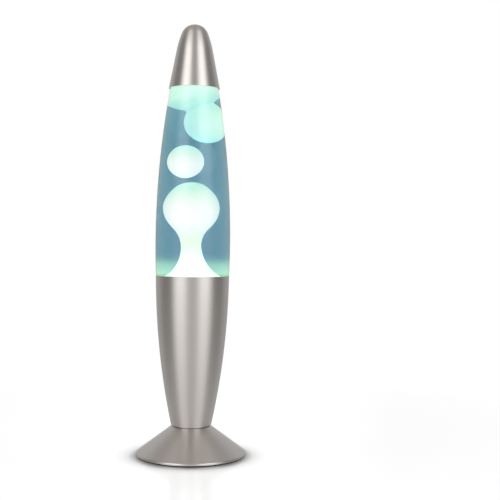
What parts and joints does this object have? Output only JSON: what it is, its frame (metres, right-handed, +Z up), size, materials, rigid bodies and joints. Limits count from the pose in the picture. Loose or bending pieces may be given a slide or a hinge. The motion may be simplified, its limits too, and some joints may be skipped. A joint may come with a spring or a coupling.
{
  "type": "lava lamp",
  "caption": "Tall table lamp: spun metal foot, tapered holder and cone cap round a sealed glass bottle of blue liquid and rising wax, warmed by a bulb below.",
  "frame": {"origin": "middle of the lamp's footprint, on the surface that it stands on", "axes": "+Z up along the lamp's axis, -Y to the front, +Y to the back where the cord goes in"},
  "size_m": [0.102, 0.102, 0.4],
  "materials": {
    "spun_aluminium": "satin spun, fine turning marks",
    "black_moulding": "fine moulded texture",
    "grey_rubber": "matte",
    "zinc_steel": "bright zinc plate",
    "white_ceramic": "unglazed",
    "brass": "rolled sheet",
    "nickel_cap": "rolled sheet",
    "solder": "dull",
    "black_glass": "glossy",
    "bulb_glass": "frosted front, silvered bowl",
    "clear_glass": "clear, polished",
    "hot_wire": "drawn wire",
    "coil_wire": "drawn wire",
    "tin_crown": "bright tinplate",
    "white_liner": "smooth",
    "white_wax": "soft translucent, lit from below",
    "blue_liquid": "clear blue liquid"
  },
  "bodies": {
    "base": {"foot": "spun_aluminium", "base_plate": "black_moulding", "rubber_foot_front": "grey_rubber", "rubber_foot_right": "grey_rubber", "rubber_foot_back": "grey_rubber", "rubber_foot_left": "grey_rubber", "cord_bush": "black_moulding", "holder_tube": "spun_aluminium", "threaded_nipple": "zinc_steel", "nipple_nut": "zinc_steel", "lock_washer": "zinc_steel", "lampholder_base": "black_moulding", "grub_screw": "zinc_steel", "lampholder_core": "white_ceramic", "terminal_screws": "brass", "lampholder_sleeve": "black_moulding", "lampholder_thread": "brass", "lampholder_contact": "brass"},
    "bulb_lift": {"bulb_tip": "solder"},
    "bulb": {"bulb_insulator": "black_glass", "bulb_screw_cap": "nickel_cap", "bulb_glass": "bulb_glass", "bulb_stem": "clear_glass", "bulb_lead_wires": "nickel_cap", "bulb_filament": "hot_wire"},
    "bottle": {"bottle": "clear_glass", "crown_liner": "white_liner", "crown_cap": "tin_crown", "heat_coil": "coil_wire", "wax_column": "white_wax", "wax_gathered": "white_wax", "liquid": "blue_liquid"},
    "wax_blob": {"wax_blob": "white_wax"},
    "cap": {"nose_cap": "spun_aluminium"}
  },
  "joints": [
    {"name": "bulb_rise", "type": "slide", "parent": "base", "child": "bulb_lift", "axis": [0, 0, 1], "range_m": [0, 0.0142]},
    {"name": "bulb_turn", "type": "hinge", "parent": "bulb_lift", "child": "bulb", "pos_m": [0, 0, 0.0664], "axis": [0, 0, 1], "range_deg": [0, 1800]},
    {"name": "bottle_lift", "type": "slide", "parent": "base", "child": "bottle", "axis": [0, 0, 1], "range_m": [0, 0.045]},
    {"name": "cap_lift", "type": "slide", "parent": "bottle", "child": "cap", "axis": [0, 0, 1], "range_m": [0, 0.04]},
    {"name": "blob_float", "type": "slide", "parent": "bottle", "child": "wax_blob", "axis": [0, 0, 1], "range_m": [-0.003, 0.0045]}
  ],
  "couplings": [
    {"joint": "bulb_rise", "follows": "bulb_turn", "m_per_rad": 0.00044882}
  ]
}
